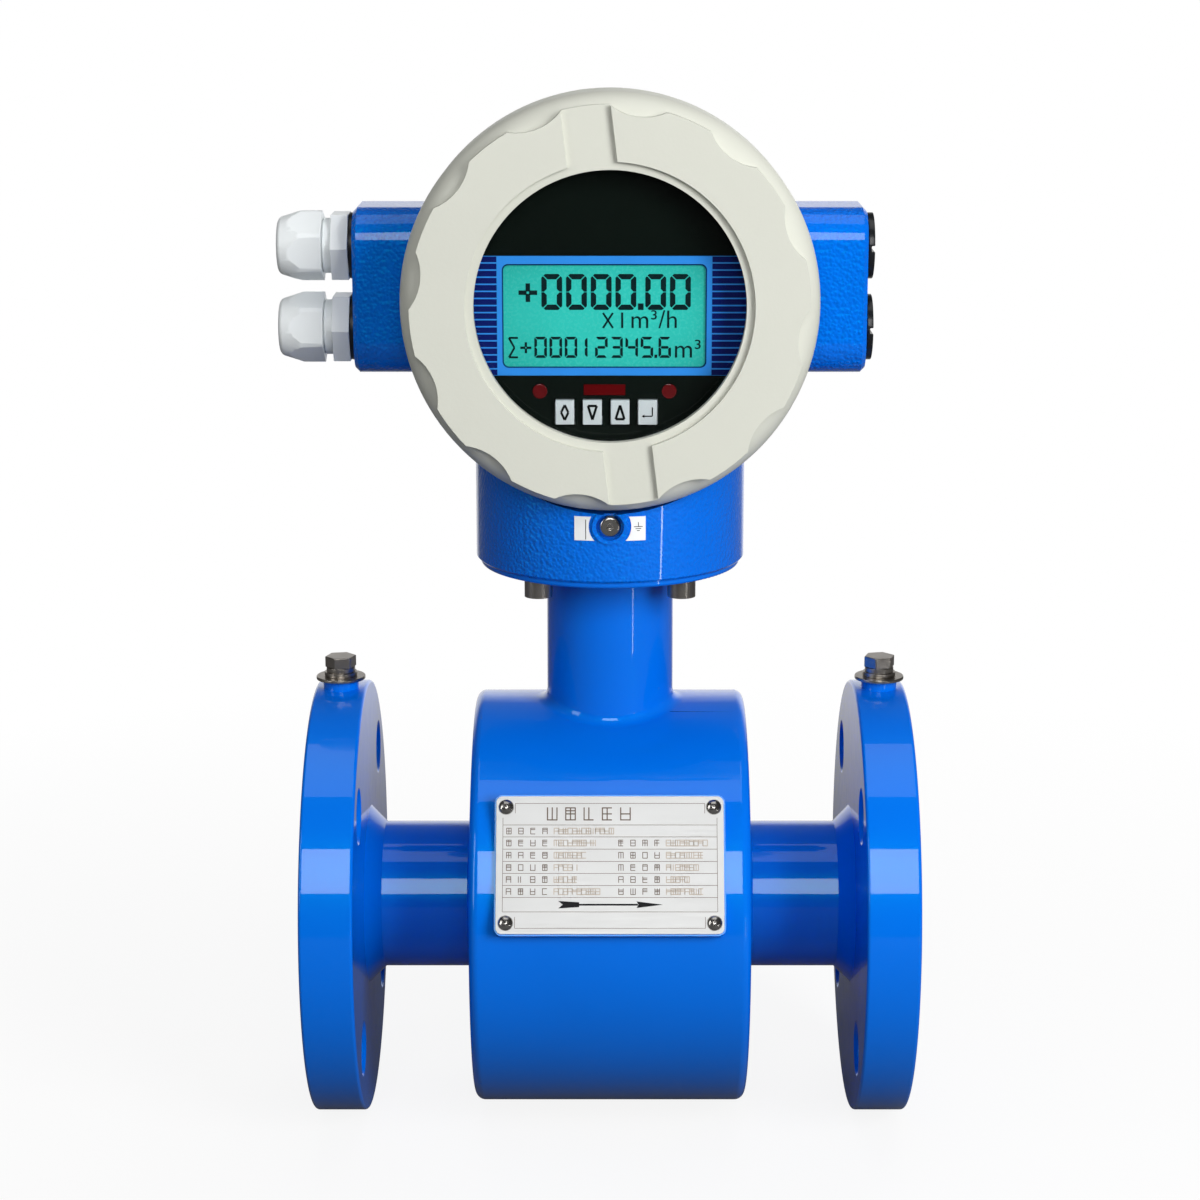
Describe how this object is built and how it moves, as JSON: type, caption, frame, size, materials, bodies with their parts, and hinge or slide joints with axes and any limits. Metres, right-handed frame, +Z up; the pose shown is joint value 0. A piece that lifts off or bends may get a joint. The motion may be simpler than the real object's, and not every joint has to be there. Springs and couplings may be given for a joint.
{
  "type": "electromagnetic flow meter",
  "caption": "Flanged electromagnetic flow meter: lined measuring tube, round coil housing and a two-chamber converter head with window, keys and cable glands.",
  "frame": {"origin": "middle of the flow axis, halfway between the two flanges", "axes": "+X along the flow from inlet to outlet, -Y to the display side, +Z up the neck to the converter"},
  "size_m": [0.2282, 0.1608, 0.3795],
  "materials": {
    "blue_gloss_paint": "glossy blue enamel over welded steel",
    "blue_casting_paint": "blue paint with a fine orange peel",
    "grey_casting_paint": "satin warm light grey paint",
    "stainless": "plain turned and pressed stainless steel",
    "plate_metal": "fine satin with etched lines",
    "liner_rubber": "smooth hard rubber",
    "seal_rubber": "smooth black rubber",
    "light_plastic": "moulded light grey nylon",
    "black_plastic": "moulded black nylon",
    "window_glass": "clear toughened glass",
    "panel_black": "smooth black film",
    "bezel_blue": "printed blue frame with dark stripes",
    "screen_teal": "lit teal screen with dark segments",
    "lamp_red": "clear red moulding",
    "bar_red": "dark red tinted window",
    "key_grey": "light grey moulding with a black sign",
    "board_green": "green solder mask",
    "post_brass": "turned brass",
    "soft_iron": "plain soft iron",
    "copper_wire": "enamelled copper wire",
    "bobbin_plastic": "moulded bobbin",
    "insulator_plastic": "white insulating plastic",
    "terminal_plastic": "green terminal moulding",
    "cable_sheath": "dark sheath",
    "label_white": "white film label"
  },
  "bodies": {
    "meter": {"measuring_tube": "blue_gloss_paint", "inlet_flange": "blue_gloss_paint", "outlet_flange": "blue_gloss_paint", "tube_liner": "liner_rubber", "electrodes": "stainless", "electrode_insulators": "insulator_plastic", "electrode_nuts": "stainless", "pole_pieces": "soft_iron", "coil_bobbins": "bobbin_plastic", "coil_windings": "copper_wire", "magnetic_yoke": "soft_iron", "yoke_screws": "stainless", "coil_housing": "blue_gloss_paint", "neck_tube": "blue_gloss_paint", "neck_plate": "blue_gloss_paint", "neck_gasket": "seal_rubber", "neck_screws": "stainless", "neck_spring_washers": "stainless", "ground_bolts": "stainless", "ground_wide_washers": "stainless", "ground_plain_washers": "stainless", "ground_spring_washers": "stainless", "nameplate_seat": "blue_gloss_paint", "nameplate": "plate_metal", "nameplate_rivets": "stainless", "lead_bundle": "cable_sheath", "lead_plug": "seal_rubber", "converter_housing": "blue_casting_paint", "earth_screw": "stainless", "earth_label": "label_white", "display_panel": "panel_black", "display_bezel": "bezel_blue", "lcd_module": "screen_teal", "status_leds": "lamp_red", "indicator_window": "bar_red", "display_board": "board_green", "main_board": "board_green", "board_posts": "post_brass", "terminal_board": "board_green", "terminal_block": "terminal_plastic", "terminal_screws": "stainless", "gland_washers": "seal_rubber", "gland_bodies": "light_plastic", "blanking_plugs": "black_plastic", "plug_washers": "seal_rubber"},
    "front_cover_travel": {"front_cover_seal": "seal_rubber"},
    "front_cover": {"front_cover": "grey_casting_paint", "window_gasket": "seal_rubber", "window_glass": "window_glass", "window_ring": "grey_casting_paint"},
    "rear_cover_travel": {"rear_cover_seal": "seal_rubber"},
    "rear_cover": {"rear_cover": "grey_casting_paint"},
    "upper_gland_travel": {"upper_gland_insert": "seal_rubber"},
    "upper_gland_nut": {"upper_gland_nut": "light_plastic"},
    "lower_gland_travel": {"lower_gland_insert": "seal_rubber"},
    "lower_gland_nut": {"lower_gland_nut": "light_plastic"},
    "menu_key": {"menu_key": "key_grey"},
    "down_key": {"down_key": "key_grey"},
    "up_key": {"up_key": "key_grey"},
    "enter_key": {"enter_key": "key_grey"}
  },
  "joints": [
    {"name": "front_cover_travel", "type": "slide", "parent": "meter", "child": "front_cover_travel", "axis": [0, -1, 0], "range_m": [0, 0.01]},
    {"name": "front_cover_turn", "type": "hinge", "parent": "front_cover_travel", "child": "front_cover", "pos_m": [0, -0.045, 0.228], "axis": [0, -1, 0], "range_deg": [0, 1800]},
    {"name": "rear_cover_travel", "type": "slide", "parent": "meter", "child": "rear_cover_travel", "axis": [0, 1, 0], "range_m": [0, 0.01]},
    {"name": "rear_cover_turn", "type": "hinge", "parent": "rear_cover_travel", "child": "rear_cover", "pos_m": [0, 0.045, 0.228], "axis": [0, 1, 0], "range_deg": [0, 1800]},
    {"name": "upper_gland_travel", "type": "slide", "parent": "meter", "child": "upper_gland_travel", "axis": [-1, 0, 0], "range_m": [0, 0.0045]},
    {"name": "upper_gland_turn", "type": "hinge", "parent": "upper_gland_travel", "child": "upper_gland_nut", "pos_m": [-0.11, 0, 0.2425], "axis": [-1, 0, 0], "range_deg": [0, 1080]},
    {"name": "lower_gland_travel", "type": "slide", "parent": "meter", "child": "lower_gland_travel", "axis": [-1, 0, 0], "range_m": [0, 0.0045]},
    {"name": "lower_gland_turn", "type": "hinge", "parent": "lower_gland_travel", "child": "lower_gland_nut", "pos_m": [-0.11, 0, 0.2135], "axis": [-1, 0, 0], "range_deg": [0, 1080]},
    {"name": "menu_key_press", "type": "slide", "parent": "meter", "child": "menu_key", "axis": [0, 1, 0], "range_m": [0, 0.0008], "stiffness_N_per_m": 300, "springref_m": -0.001},
    {"name": "down_key_press", "type": "slide", "parent": "meter", "child": "down_key", "axis": [0, 1, 0], "range_m": [0, 0.0008], "stiffness_N_per_m": 300, "springref_m": -0.001},
    {"name": "up_key_press", "type": "slide", "parent": "meter", "child": "up_key", "axis": [0, 1, 0], "range_m": [0, 0.0008], "stiffness_N_per_m": 300, "springref_m": -0.001},
    {"name": "enter_key_press", "type": "slide", "parent": "meter", "child": "enter_key", "axis": [0, 1, 0], "range_m": [0, 0.0008], "stiffness_N_per_m": 300, "springref_m": -0.001}
  ],
  "couplings": [
    {"joint": "front_cover_travel", "follows": "front_cover_turn", "m_per_rad": 0.00031831},
    {"joint": "rear_cover_travel", "follows": "rear_cover_turn", "m_per_rad": 0.00031831},
    {"joint": "upper_gland_travel", "follows": "upper_gland_turn", "m_per_rad": 0.00023873},
    {"joint": "lower_gland_travel", "follows": "lower_gland_turn", "m_per_rad": 0.00023873}
  ]
}
